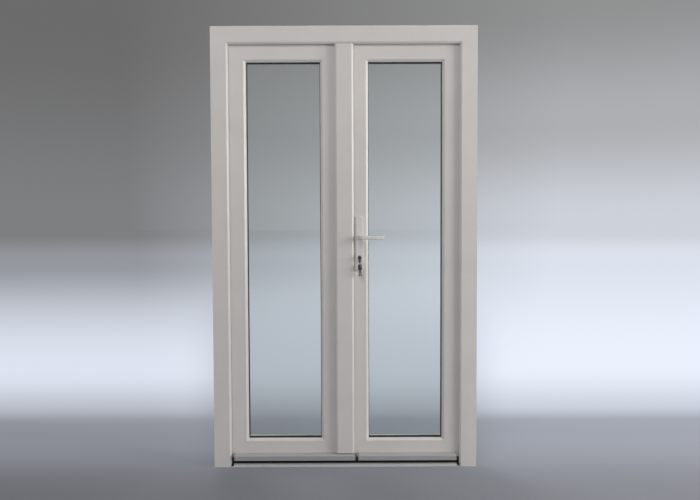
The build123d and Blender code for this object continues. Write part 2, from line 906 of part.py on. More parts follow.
def hinge_parts(z):
    """Frame part, sash part and pin of the right-hand hinge at one height."""
    half = hinge_height / 2
    sash_half = hinge_height * hinge_sash_share / 2
    barrel = Pos(hinge_x, hinge_y, z) * Cylinder(hinge_barrel_radius, hinge_height)
    frame_plate_x = (half_width - hinge_plate_edge - hinge_plate_width, half_width - hinge_plate_edge)
    frame_plate = block(frame_plate_x, (frame_in, frame_in + hinge_plate_thickness), (z - half, z + half))
    frame_plate = fillet(frame_plate.edges().filter_by(Axis.Y), hinge_corner_radius)
    arm = block(
        (hinge_x - hinge_plate_thickness, hinge_x + hinge_plate_thickness),
        (frame_in + hinge_plate_thickness, hinge_y),
        (z - half, z + half),
    )
    sash_inner_edge = sash_x + sash_flange_overlap - hinge_edge_inset
    sash_plate = block(
        (sash_inner_edge - hinge_sash_plate_width, hinge_x),
        (sash_in, sash_in + hinge_plate_thickness),
        (z - sash_half, z + sash_half),
    )
    free_corners = sash_plate.edges().filter_by(Axis.Y).group_by(Axis.X)[0]
    sash_plate = fillet(free_corners, hinge_corner_radius)
    middle = block(
        (0, frame_width),
        (frame_in + hinge_plate_thickness, far),
        (z - sash_half - hinge_knuckle_gap, z + sash_half + hinge_knuckle_gap),
    )
    core = block((0, frame_width), (frame_in, far), (z - sash_half, z + sash_half))
    hole = Pos(hinge_x, hinge_y, z) * Cylinder(hinge_pin_radius + hinge_pin_clearance, run_out)
    fixed = frame_plate + ((barrel + arm) - middle) - hole
    moving = sash_plate + (barrel & core) - hole
    pin = Pos(hinge_x, hinge_y, z) * Cylinder(hinge_pin_radius, hinge_height)
    for end in (-1, 1):
        centre = z + end * (half + hinge_pin_head / 2)
        head_radius = hinge_barrel_radius - hinge_head_inset
        pin += Pos(hinge_x, hinge_y, centre) * Cylinder(head_radius, hinge_pin_head)
    return fixed, moving, pin


def make_hinges():
    fixed, moving, pins = zip(*[hinge_parts(z) for z in hinge_levels])
    both = [shape for part in fixed for shape in (part, mirrored(part))]
    all_pins = [shape for part in pins for shape in (part, mirrored(part))]
    save("hinge_frame_parts", *both)
    save("hinge_pins", *all_pins)
    save("active_hinge_sash_parts", *moving)
    save("passive_hinge_sash_parts", *[mirrored(part) for part in moving])


# lock in the active leaf


def stile_x(depth):
    """X at a depth measured from the lock stile's edge."""
    return meeting_half_gap + depth


def euro_profile(clearance, y0, y1):
    """The cylinder's pear-shaped section run along Y, grown by a clearance."""
    radius = cylinder_head_radius + clearance
    stem = cylinder_stem_width / 2 + clearance
    low = cylinder_total_height - cylinder_head_radius
    head = rod_along_y(lever_x, cylinder_z, radius, y0, y1)
    foot = rod_along_y(lever_x, cylinder_z - low + stem - clearance, stem, y0, y1)
    web = block(about(lever_x, 2 * stem), (y0, y1), (cylinder_z - low + stem - clearance, cylinder_z))
    return head + foot + web


def case_y():
    return about(hardware_y, lock_case_thickness)


def main_case_block(grow=0.0):
    x = (stile_x(faceplate_thickness), stile_x(sash_body_to_rebate - outer_wall - steel_clearance))
    z = (cylinder_z - lock_case_bottom, latch_z + latch_height / 2 + lock_case_top)
    return block((x[0], x[1] + min(grow, steel_clearance)), grown(case_y(), grow), grown(z, grow))


def side_case_block(z, grow=0.0):
    x = (stile_x(faceplate_thickness), stile_x(side_case_depth))
    return block((x[0], x[1] + grow), grown(case_y(), grow), grown(about(z, side_case_height), grow))


def lock_stile_cuts():
    """Openings milled in the lock stile for the lock, the spindle and the cylinder."""
    through = grown((sash_out, sash_in), cut_margin)
    return [
        main_case_block(keeper_slip),
        *[side_case_block(z, keeper_slip) for z in side_bolt_levels],
        rod_along_y(lever_x, lever_height, spindle_hole_radius, *through),
        euro_profile(cylinder_clearance, *through),
    ]


def latch_slot():
    """The slot that the latch slides in, with room for its travel behind it."""
    half = latch_thickness / 2 + slot_clearance
    x = (stile_x(-latch_projection), stile_x(latch_body_length + latch_travel) + slot_clearance)
    z = grown(about(latch_z, latch_height), slot_clearance)
    return block(x, (hardware_y - half, hardware_y + half), z)


def latch_shape():
    """The latch at rest, its outer corner sloped to ride over the keeper."""
    tip = stile_x(-latch_projection)
    back = stile_x(latch_body_length)
    half = latch_thickness / 2
    face = outline([
        (tip, hardware_y - half + latch_slope),
        (stile_x(0), hardware_y - half),
        (back, hardware_y - half),
        (back, hardware_y + half),
        (tip, hardware_y + half),
    ])
    return Pos(0, 0, latch_z - latch_height / 2) * extrude(face, amount=latch_height)


def deadbolt_shape(grow=0.0):
    """The deadbolt drawn back flush with the faceplate, or the slot that it slides in."""
    front = -cut_margin if grow else bolt_inset
    x = (stile_x(front), stile_x(bolt_inset + bolt_body_length) + grow)
    y = grown(about(hardware_y, deadbolt_thickness), grow)
    return block(x, y, grown(about(deadbolt_z, deadbolt_height), grow))


def side_bolt_shape(z, grow=0.0):
    """A round bolt drawn back flush with the faceplate, or the bore that it slides in."""
    front = -cut_margin if grow else bolt_inset
    x = (stile_x(front), stile_x(bolt_inset + bolt_body_length) + grow)
    return rod_along_x(hardware_y, z, side_bolt_radius + grow, *x)


def make_lock():
    """Faceplate, lock cases, latch, deadbolt, side bolts and drive rods."""
    slots = [latch_slot(), deadbolt_shape(slot_clearance)]
    slots += [side_bolt_shape(z, slot_clearance) for z in side_bolt_levels]
    faceplate = block(
        (stile_x(0), stile_x(faceplate_thickness)),
        (groove_out + keeper_slip, groove_in - keeper_slip),
        (sash_bottom + faceplate_from_end, sash_top - faceplate_from_end),
    )
    faceplate = fillet(faceplate.edges().filter_by(Axis.X), faceplate_end_radius)
    main = main_case_block()
    main -= rod_along_y(lever_x, lever_height, follower_hole_radius, *grown(case_y(), cut_margin))
    main -= euro_profile(cylinder_clearance, *grown(case_y(), cut_margin))
    cavity = cam_finger_radius + cam_cavity_clearance
    cam_y = about(hardware_y, cam_gap_width)
    main -= rod_along_y(lever_x, cylinder_z, cavity, *cam_y)
    cases = [main] + [side_case_block(z) for z in side_bolt_levels]
    for slot in slots:
        faceplate -= slot
        cases = [case - slot for case in cases]
    save("lock_faceplate", faceplate)
    save("lock_cases", *cases)
    save("latch_bolt", latch_shape())
    save("deadbolt", deadbolt_shape())
    save("side_bolts", *[side_bolt_shape(z) for z in side_bolt_levels])
    save("drive_rods", *drive_rods())


def drive_rods():
    """Flat rods behind the faceplate that carry the drive to the side bolts."""
    x0 = stile_x(faceplate_thickness + seat_gap)
    x = (x0, x0 + drive_rod_thickness)
    y = about(hardware_y, drive_rod_width)
    low = cylinder_z - lock_case_bottom
    high = latch_z + latch_height / 2 + lock_case_top
    half = side_case_height / 2
    room = bolt_travel + drive_rod_end_margin
    return [
        block(x, y, (side_bolt_levels[0] + half + drive_rod_rest_gap, low - room)),
        block(x, y, (high + drive_rod_rest_gap, side_bolt_levels[1] - half - room)),
    ]


def make_cylinder():
    """Profile cylinder through the stile, with its outer plug and cam."""
    y0 = sash_out - plate_thickness - cylinder_proud
    y1 = sash_in + plate_thickness + cylinder_proud
    gap = about(hardware_y, cam_gap_width)
    body = euro_profile(0, y0, y1)
    body -= rod_along_y(lever_x, cylinder_z, plug_radius + plug_clearance, y0 - cut_margin, gap[0])
    top = (cylinder_z - cam_web_depth, cylinder_z + cylinder_head_radius + cut_margin)
    wide = grown((lever_x - cylinder_head_radius, lever_x + cylinder_head_radius), cut_margin)
    body -= block(wide, gap, top)
    inner_keyway = block(
        about(lever_x, key_thickness),
        (y1 - key_neck_length, y1 + cut_margin),
        about(cylinder_z, key_blade_height),
    )
    save("cylinder_body", body - inner_keyway)
    plug_front = y0 - plug_proud
    plug = rod_along_y(lever_x, cylinder_z, plug_radius, plug_front, gap[0])
    cam_y = about(hardware_y, cam_width)
    cam = rod_along_y(lever_x, cylinder_z, cam_radius, *cam_y)
    cam += block(
        about(lever_x, cam_finger_width),
        cam_y,
        (cylinder_z, cylinder_z + cam_finger_radius),
    )
    tail = rod_along_y(lever_x, cylinder_z, cam_tail_radius, gap[0], cam_y[0])
    keyway = block(
        about(lever_x, key_thickness + slot_clearance),
        (plug_front - cut_margin, plug_front + key_blade_length + slot_clearance),
        grown(about(cylinder_z, key_blade_height), slot_clearance),
    )
    save("cylinder_plug", (plug - keyway) + tail + cam)
    return plug_front


def key_cuts(shoulder, towards_tip):
    """Notches of different depths along one edge of a key's blade, counted from its shoulder."""
    edge = key_blade_height / 2
    notches = []
    for index, depth in enumerate(key_cut_depths):
        middle = shoulder + towards_tip * (key_first_cut + index * key_cut_pitch)
        narrow = about(middle, key_cut_flat)
        wide = grown(narrow, depth + cut_margin)
        notches.append(outline([
            (edge - depth, narrow[0]),
            (edge - depth, narrow[1]),
            (edge + cut_margin, wide[1]),
            (edge + cut_margin, wide[0]),
        ]))
    return notches


def flat_key(blade_length):
    """A key lying in the XY plane: tip towards +Y, bow at -Y, bow hole on its lower (-X) side."""
    half = key_bow_size / 2
    bow = Pos(0, -key_neck_length - half) * RectangleRounded(key_bow_size, key_bow_size, key_bow_corner)
    shank = outline([
        (-key_blade_height / 2, -key_neck_length - half),
        (key_blade_height / 2, -key_neck_length - half),
        (key_blade_height / 2, blade_length - key_blade_height / 2),
        (0, blade_length),
        (-key_blade_height / 2, blade_length - key_blade_height / 2),
    ])
    hole = Pos(-half + key_rim + key_hole_radius, -key_neck_length - half) * Circle(key_hole_radius)
    face = bow + shank - hole
    for notch in key_cuts(0, 1):
        face -= notch
    solid = extrude(face, amount=key_thickness / 2, both=True)
    # the hole's edges are rounded, so the ring swings round the rim
    rims = [e for e in solid.edges().filter_by(GeomType.CIRCLE) if e.radius < key_bow_corner - key_rim / 2]
    return fillet(rims, key_hole_fillet)


def make_keys(plug_front):
    """The key in the lock, its wire ring, and two spare keys that hang on the ring."""
    # turned so that the key's flat is upright and the rim below its hole carries the ring
    key = Pos(lever_x, plug_front, cylinder_z) * Rot(0, -90, 0) * flat_key(key_blade_length)
    rim_y = plug_front - key_neck_length - key_bow_size / 2
    rim_z = cylinder_z - key_bow_size / 2 + key_rim / 2
    centre_z = rim_z - (ring_radius - ring_wire_radius - ring_hang_gap)
    ring_plane = Pos(lever_x, rim_y, centre_z) * Rot(90, 0, 0)
    loop = ring_plane * Torus(ring_radius, ring_wire_radius)
    spare = spare_key()
    # the ring curves up beside its lowest point, so the keys' holes sit a little higher there
    inner = ring_radius - ring_wire_radius
    reach = spare_key_shift + key_thickness
    rise = inner - (inner**2 - reach**2) ** 0.5
    lift = centre_z - inner + rise + seat_gap / 2
    spares = [
        Pos(lever_x + shift, rim_y, lift) * Rot(0, tilt, 0) * Rot(0, 0, spare_key_turn) * spare
        for shift, tilt in ((-spare_key_shift, 0.0), (spare_key_shift, -spare_key_tilt))
    ]
    save("key", key)
    save("key_ring", loop)
    save("spare_keys", *spares)


def spare_key():
    """A spare key hanging by its bow, with the top of its hole at the origin."""
    half = key_bow_size / 2
    hole_top = half - key_rim
    bow = Pos(0, -hole_top) * RectangleRounded(key_bow_size, key_bow_size, key_bow_corner)
    tip = -spare_key_length + key_rim
    shank = outline([
        (-key_blade_height / 2, -hole_top),
        (key_blade_height / 2, -hole_top),
        (key_blade_height / 2, tip + key_blade_height / 2),
        (0, tip),
        (-key_blade_height / 2, tip + key_blade_height / 2),
    ])
    face = bow + shank - Pos(0, -key_hole_radius) * Circle(key_hole_radius)
    for notch in key_cuts(tip + key_blade_length, -1):
        face -= notch
    return extrude(Plane.YZ * face, amount=key_thickness / 2, both=True)


# handle


def plate_solid():
    """Long plate on the outside face, with a collar round the lever's neck and a hole for the cylinder."""
    middle = lever_height + plate_above_lever - plate_height / 2
    shape = RectangleRounded(plate_width, plate_height, plate_corner_radius)
    face = Plane.XZ * (Pos(lever_x, middle) * shape)
    body = Pos(0, sash_out, 0) * extrude(face, amount=plate_thickness)
    rim = body.faces().sort_by(Axis.Y)[0].edges()
    body = fillet(rim, plate_edge_fillet)
    front = sash_out - plate_thickness
    collar_y = (front - plate_collar_height, front)
    collar = rod_along_y(lever_x, lever_height, plate_collar_radius, *collar_y)
    body += chamfer(collar.edges().sort_by(Axis.Y)[0], plate_collar_chamfer)
    y = grown((collar_y[0], sash_out), cut_margin)
    body -= rod_along_y(lever_x, lever_height, lever_neck_radius + lever_neck_clearance, *y)
    return body - euro_profile(keeper_slip, *y)


def lever_solid():
    """Round neck and a bent grip of rounded section, drawn on the outside face."""
    plate_front = sash_out - plate_thickness
    neck_end = plate_front - lever_neck_length
    bend = lever_bend_radius
    grip_y = neck_end - lever_section_thickness / 2
    start = (lever_x, grip_y + bend, lever_height)
    corner = (lever_x, grip_y, lever_height)
    tip = (lever_x + lever_length - lever_neck_radius, grip_y, lever_height)
    path = FilletPolyline(start, corner, tip, radius=bend - lever_bend_lead)
    section = Plane(origin=start, x_dir=(1, 0, 0), z_dir=(0, -1, 0)) * RectangleRounded(
        lever_section_thickness, lever_section_height, lever_section_radius
    )
    grip = sweep(section, path=path)
    grip = fillet(grip.faces().sort_by(Axis.X)[-1].edges(), lever_tip_fillet)
    neck_y = (grip_y + bend - lever_neck_overlap, sash_out + lever_neck_seat)
    neck = rod_along_y(lever_x, lever_height, lever_neck_radius, *neck_y)
    hole_side = spindle_side + 2 * spindle_clearance
    hole = block(
        about(lever_x, hole_side),
        (plate_front - spindle_depth, sash_out + lever_neck_seat + cut_margin),
        about(lever_height, hole_side),
    )
    return grip + neck - hole


def turned_inside(shape):
    """The outside shape mirrored through the middle of the sash's depth."""
    return mirror(shape, about=Plane(origin=(0, (sash_out + sash_in) / 2, 0), z_dir=(0, 1, 0)))


def make_handle():
    plate = plate_solid()
    lever = lever_solid()
    reach = plate_thickness + spindle_depth
    spindle = block(
        about(lever_x, spindle_side),
        (sash_out - reach, sash_in + reach),
        about(lever_height, spindle_side),
    )
    save("outside_handle_plate", plate)
    save("inside_handle_plate", turned_inside(plate))
    save("outside_lever", lever)
    save("inside_lever", turned_inside(lever))
    save("spindle", spindle)


os.makedirs("parts", exist_ok=True)
make_frame()
make_threshold()
frame_seal()
make_sash("passive", -1)
make_sash("active", 1)
make_weather_bars()
make_astragal()
make_keepers()
make_shoot_bolts()
make_hinges()
make_lock()
make_keys(make_cylinder())
make_handle()
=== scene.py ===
"""White plastic double door in its frame, dressed for the outside view."""
import math

import bpy
import numpy as np
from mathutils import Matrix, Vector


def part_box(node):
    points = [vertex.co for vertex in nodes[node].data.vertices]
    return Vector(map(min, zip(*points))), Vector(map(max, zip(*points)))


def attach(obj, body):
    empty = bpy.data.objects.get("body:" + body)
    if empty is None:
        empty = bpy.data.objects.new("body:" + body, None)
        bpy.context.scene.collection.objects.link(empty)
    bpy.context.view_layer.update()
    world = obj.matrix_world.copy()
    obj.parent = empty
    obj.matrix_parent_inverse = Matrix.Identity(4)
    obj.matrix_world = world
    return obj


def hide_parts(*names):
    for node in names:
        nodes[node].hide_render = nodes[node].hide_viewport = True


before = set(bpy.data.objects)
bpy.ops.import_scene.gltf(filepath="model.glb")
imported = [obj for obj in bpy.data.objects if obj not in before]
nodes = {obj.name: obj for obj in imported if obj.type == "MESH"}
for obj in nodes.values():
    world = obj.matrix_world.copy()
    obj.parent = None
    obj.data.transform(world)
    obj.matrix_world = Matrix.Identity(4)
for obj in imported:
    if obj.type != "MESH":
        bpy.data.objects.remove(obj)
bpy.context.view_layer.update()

# Camera and studio.
# The camera stands level with the handle, three metres from the closed leaves, tipped slightly down.
# Floor and air are one pale grey studio, brightest in a band behind the door and at the right.

camera_place = (0.0, -3.204, 1.125)
camera_tip_down = 0.0409
camera_roll = 0.0039
camera = bpy.data.objects.new("door_camera", bpy.data.cameras.new("door_camera"))
bpy.context.scene.collection.objects.link(camera)
camera.location = camera_place
camera.rotation_euler = (math.pi / 2 - camera_tip_down, camera_roll, 0.0)
camera.data.sensor_width = 36.0
camera.data.lens = 36.0
camera.data.shift_x = 0.0078
bpy.context.scene.camera = camera
bpy.context.scene.view_settings.view_transform = "Standard"


def new_material(name):
    """A material with a Principled shader."""
    material = bpy.data.materials.new(name)
    material.use_nodes = True
    return material


def add(tree, kind, inputs=None, **settings):
    """A node of one kind with its settings, and inputs given by socket name or number."""
    node = tree.nodes.new(kind)
    for key, value in settings.items():
        setattr(node, key, value)
    for socket, value in (inputs or {}).items():
        node.inputs[socket].default_value = value
    return node


def join(tree, source, out, target, into):
    """A wire from one node's output to another node's input."""
    tree.links.new(source.outputs[out], target.inputs[into])


def blend(tree, share, low, high):
    """A colour between two others, each a socket or four plain numbers, by a share."""
    node = add(tree, "ShaderNodeMix", data_type="RGBA")
    for index, value in ((0, share), (6, low), (7, high)):
        if isinstance(value, tuple):
            node.inputs[index].default_value = value
        else:
            tree.links.new(value, node.inputs[index])
    return node.outputs[2]


def choose(tree, share, plain, other, output):
    """Sends a shader to an output, and by a share another one instead."""
    pick = add(tree, "ShaderNodeMixShader")
    for index, socket in enumerate((share, plain, other)):
        tree.links.new(socket, pick.inputs[index])
    join(tree, pick, "Shader", tree.nodes[output], "Surface")


def maths(tree, operation, first, second=0.0):
    """One sum of two values, each a socket or a plain number."""
    node = add(tree, "ShaderNodeMath", operation=operation)
    for index, value in enumerate((first, second)):
        if isinstance(value, (int, float)):
            node.inputs[index].default_value = value
        else:
            tree.links.new(value, node.inputs[index])
    return node.outputs["Value"]


def ranged(tree, value, start, end, low=0.0, high=1.0, change="LINEAR"):
    """A change from low at the start to high at the end, level beyond both."""
    node = add(tree, "ShaderNodeMapRange", interpolation_type=change)
    for socket, number in (("From Min", start), ("From Max", end), ("To Min", low), ("To Max", high)):
        node.inputs[socket].default_value = number
    tree.links.new(value, node.inputs["Value"])
    return node.outputs["Result"]


def eased(tree, value, start, end, low=0.0, high=1.0):
    """The same change, soft at both ends."""
    return ranged(tree, value, start, end, low, high, "SMOOTHSTEP")


def decades(tree, distance):
    """The logarithm to ten of one plus a distance."""
    return maths(tree, "LOGARITHM", maths(tree, "ADD", distance, 1.0), 10.0)


cool_red_loss = 0.06
cool_blue_gain = 0.13
side_slope = 1.7


def grey_ramp(tree, share, stops):
    """A ramp of greys given as (position, brightness, coolness)."""
    node = tree.nodes.new("ShaderNodeValToRGB")
    node.color_ramp.interpolation = "EASE"
    elements = node.color_ramp.elements
    while len(elements) < len(stops):
        elements.new(0.5)
    for element, (position, brightness, cool) in zip(elements, stops):
        red = brightness * (1 - cool_red_loss * cool)
        blue = brightness * (1 + cool_blue_gain * cool)
        element.position = position
        element.color = (red, brightness, blue, 1.0)
    tree.links.new(share, node.inputs["Fac"])
    return node.outputs["Color"]


def two_sided(tree, across, share, dim, bright):
    """A colour between a dim and a bright ramp, chosen by how far to the right a place lies."""
    side = add(tree, "ShaderNodeMath", {1: side_slope, 2: 0.5}, operation="MULTIPLY_ADD", use_clamp=True)
    tree.links.new(across, side.inputs[0])
    return blend(tree, side.outputs["Value"], grey_ramp(tree, share, dim), grey_ramp(tree, share, bright))


def seen_rays(tree):
    """One for rays that look at the studio, from the camera, off gloss or through glass, else nought."""
    path = add(tree, "ShaderNodeLightPath")
    either = maths(tree, "MAXIMUM", path.outputs["Is Camera Ray"], path.outputs["Is Glossy Ray"])
    return maths(tree, "MAXIMUM", either, path.outputs["Is Transmission Ray"])


front_air = (0.50, 0.50, 0.51, 1.0)
front_span = (0.0, -0.35)


def studio_air(tree, x, y, z):
    """The colour of the studio's air in one direction, brighter at the right and behind the camera."""
    wall = two_sided(
        tree, x, z,
        dim=((0.0, 0.212, 0.25), (0.25, 0.148, 0.0), (1.0, 0.13, 0.0)),
        bright=((0.0, 0.64, 0.7), (0.13, 0.43, 0.35), (0.28, 0.285, 0.1), (1.0, 0.24, 0.1)),
    )
    return blend(tree, eased(tree, y, *front_span), wall, front_air)


floor_reach = 90.0
floor_mesh = bpy.data.meshes.new("studio_floor")
floor_mesh.from_pydata(
    [(-floor_reach, -floor_reach, 0), (floor_reach, -floor_reach, 0),
     (floor_reach, floor_reach, 0), (-floor_reach, floor_reach, 0)],
    [], [(0, 1, 2, 3)],
)
floor = bpy.data.objects.new("studio_floor", floor_mesh)
bpy.context.scene.collection.objects.link(floor)

floor_finish = new_material("studio_floor_paint")
tree = floor_finish.node_tree
shader = tree.nodes["Principled BSDF"]
shader.inputs["Base Color"].default_value = (0.36, 0.37, 0.42, 1.0)
shader.inputs["Roughness"].default_value = 0.8
shader.inputs["Specular IOR Level"].default_value = 0.15
place = add(tree, "ShaderNodeTexCoord")
spot = add(tree, "ShaderNodeSeparateXYZ")
join(tree, place, "Object", spot, "Vector")
# depth is in decades from the door's plane, less than nought before it; across is the view's slope
off = maths(tree, "ABSOLUTE", spot.outputs["Y"])
depth = maths(tree, "MULTIPLY", decades(tree, off), maths(tree, "SIGN", spot.outputs["Y"]))
across = maths(tree, "DIVIDE", spot.outputs["X"], maths(tree, "ADD", off, -camera_place[1]))
# the floor's glow is painted light: a bright band behind the door, brighter towards the right, shown to
# camera, gloss and glass
glow_span = (-0.25, 2.0)
glow = two_sided(
    tree, across, ranged(tree, depth, *glow_span),
    dim=((0.04, 0.08, 0.6), (0.18, 0.33, 1.0), (0.33, 0.77, 1.0), (0.66, 0.31, 0.7), (1.0, 0.212, 0.25)),
    bright=((0.04, 0.25, 0.8), (0.18, 0.50, 1.2), (0.34, 0.88, 0.9), (0.66, 0.76, 0.9), (1.0, 0.64, 0.7)),
)
# painted shade: the floor's glow straight behind the door is dimmed, standing in for the door's soft shadow
shade_strength = 0.32
shade_depth_span = (1.1, 0.45)
shade_side_span = (0.13, 0.24)
deep = eased(tree, depth, *shade_depth_span, high=shade_strength)
beside = eased(tree, maths(tree, "ABSOLUTE", across), *shade_side_span)
shade = maths(tree, "MULTIPLY", deep, maths(tree, "SUBTRACT", 1.0, beside))
# the far floor takes the colour of the air above it all round, so no line shows between them
far_behind_span = (1.3, 1.9)
far_before_span = (0.45, 1.4)
reach = add(tree, "ShaderNodeVectorMath", operation="LENGTH")
way = add(tree, "ShaderNodeVectorMath", operation="NORMALIZE")
ways = add(tree, "ShaderNodeSeparateXYZ")
join(tree, place, "Object", reach, 0)
join(tree, place, "Object", way, 0)
join(tree, way, "Vector", ways, "Vector")
away = decades(tree, reach.outputs["Value"])
ahead = eased(tree, ways.outputs["Y"], *front_span)
before = maths(tree, "MULTIPLY", eased(tree, away, *far_before_span), ahead)
far = maths(tree, "MAXIMUM", eased(tree, away, *far_behind_span), before)
shown = add(tree, "ShaderNodeEmission")
tree.links.new(blend(tree, far, glow, studio_air(tree, *ways.outputs)), shown.inputs["Color"])
tree.links.new(maths(tree, "SUBTRACT", 1.0, shade), shown.inputs["Strength"])
# near the door the floor shows only a share of its glow, and its lit paint carries the door's shadow
near_glow = 0.5
near_depth_span = (0.17, 0.30)
near_reach_span = (0.45, 0.9)
beyond = maths(tree, "MAXIMUM", eased(tree, depth, *near_depth_span), eased(tree, away, *near_reach_span))
share = maths(tree, "MULTIPLY", seen_rays(tree), maths(tree, "MAXIMUM", beyond, near_glow))
choose(tree, share, shader.outputs["BSDF"], shown.outputs["Emission"], "Material Output")
floor_mesh.materials.append(floor_finish)

low_light = (0.085, 0.092, 0.112, 1.0)
high_light = (0.235, 0.24, 0.255, 1.0)
light_span = (0.0, 0.7)
air = bpy.data.worlds.new("studio_air")
bpy.context.scene.world = air
air.use_nodes = True
tree = air.node_tree
place = add(tree, "ShaderNodeTexCoord")
way = add(tree, "ShaderNodeSeparateXYZ")
join(tree, place, "Generated", way, "Vector")
shown = add(tree, "ShaderNodeBackground")
tree.links.new(studio_air(tree, *way.outputs), shown.inputs["Color"])
back = tree.nodes["Background"]
above = eased(tree, way.outputs["Z"], *light_span)
tree.links.new(blend(tree, above, low_light, high_light), back.inputs["Color"])
choose(tree, seen_rays(tree), back.outputs["Background"], shown.outputs["Background"], "World Output")

fade_power = 4.0
# the mean of a lamp's fade over its face, four fifths squared
mean_fade = 0.64


def soft_lamp(name, place, aim, size, power, colour, in_gloss=True):
    """A rectangular area lamp facing a point, fading towards its edges."""
    lamp = bpy.data.lights.new(name, "AREA")
    lamp.shape = "RECTANGLE"
    lamp.size, lamp.size_y = size
    lamp.energy = power / mean_fade
    lamp.color = colour
    lamp.use_nodes = True
    tree = lamp.node_tree
    where = add(tree, "ShaderNodeNewGeometry")
    split = add(tree, "ShaderNodeSeparateXYZ")
    join(tree, where, "Parametric", split, "Vector")
    fades = []
    for axis in ("X", "Y"):
        off = maths(tree, "ABSOLUTE", maths(tree, "SUBTRACT", split.outputs[axis], 0.5))
        edge = maths(tree, "POWER", maths(tree, "MULTIPLY", off, 2.0), fade_power)
        fades.append(maths(tree, "SUBTRACT", 1.0, edge))
    tree.links.new(maths(tree, "MULTIPLY", *fades), tree.nodes["Emission"].inputs["Strength"])
    holder = bpy.data.objects.new(name, lamp)
    bpy.context.scene.collection.objects.link(holder)
    line = np.array(aim, float) - np.array(place, float)
    holder.location = place
    flat = math.hypot(line[0], line[1])
    holder.rotation_euler = (math.atan2(flat, -line[2]), 0.0, math.atan2(line[1], line[0]) - math.pi / 2)
    holder.visible_camera = False
    holder.visible_transmission = False
    holder.visible_glossy = in_gloss


soft_lamp("right_lamp", place=(4.3, -1.60, 1.95), aim=(0.0, 0.0, 1.2), size=(2.4, 2.6), power=126,
          colour=(1.0, 0.960, 0.905))
soft_lamp("front_fill", place=(-1.0, -3.2, 3.9), aim=(0.0, 0.0, 1.9), size=(2.2, 2.2), power=46,
          colour=(1.0, 0.955, 0.90), in_gloss=False)
soft_lamp("left_fill", place=(-4.0, -2.6, 1.2), aim=(0.0, 0.0, 1.0), size=(2.0, 2.4), power=12,
          colour=(0.93, 0.96, 1.0), in_gloss=False)
soft_lamp("back_lamp", place=(-1.8, 3.6, 2.8), aim=(0.0, 0.0, 1.0), size=(2.6, 2.6), power=60,
          colour=(1.0, 0.985, 0.96))

# White plastic profiles.
# Jambs, head, stiles, rails, beads and astragal are extruded white plastic, cut at 45 degrees and welded.
# The skin is smooth with a faint draw along its length, dusty low down, with a scraped line at each weld.

profile_white = (0.795, 0.770, 0.745, 1.0)
ring_middles = {"frame": (0.0, 0.0, 0.0), "passive": (-0.2765, 0.0, 0.985), "active": (0.2765, 0.0, 0.985)}
ring_halves = {"frame": (0.600, 0.0, 2.000), "passive": (0.2535, 0.0, 0.945), "active": (0.2535, 0.0, 0.945)}
along_upright = (1.0, 1.0, 0.03)
along_level = (0.03, 1.0, 1.0)
along_bead = (0.3, 1.0, 0.03)
along_bar = (0.02, 1.0, 1.0)
along_strip = (1.0, 1.0, 0.05)
along_steel = (1.0, 1.0, 0.08)
every_way = (1.0, 1.0, 1.0)
tone_span = (0.3, 0.7)
dust_colour = (0.42, 0.40, 0.37, 1.0)
dust_height = 0.22
dust_dulling = 0.25
scuff_span = (0.62, 0.72)
line_dulling = 0.05
relief_depth = 0.0004
weld_width = 0.0011
weld_scrape = (0.52, 0.51, 0.49, 1.0)
weld_paleness = 0.25
weld_groove = 0.35


def sockets(group, out=False, **kinds):
    """Named inputs or outputs of a node group, each with its kind and, for inputs, its value."""
    for name, kind in kinds.items():
        if out:
            group.interface.new_socket(name, in_out="OUTPUT", socket_type=f"NodeSocket{kind}")
        else:
            socket = group.interface.new_socket(name, in_out="INPUT", socket_type=f"NodeSocket{kind[0]}")
            socket.default_value = kind[1]
    return group.nodes.new("NodeGroupOutput" if out else "NodeGroupInput")


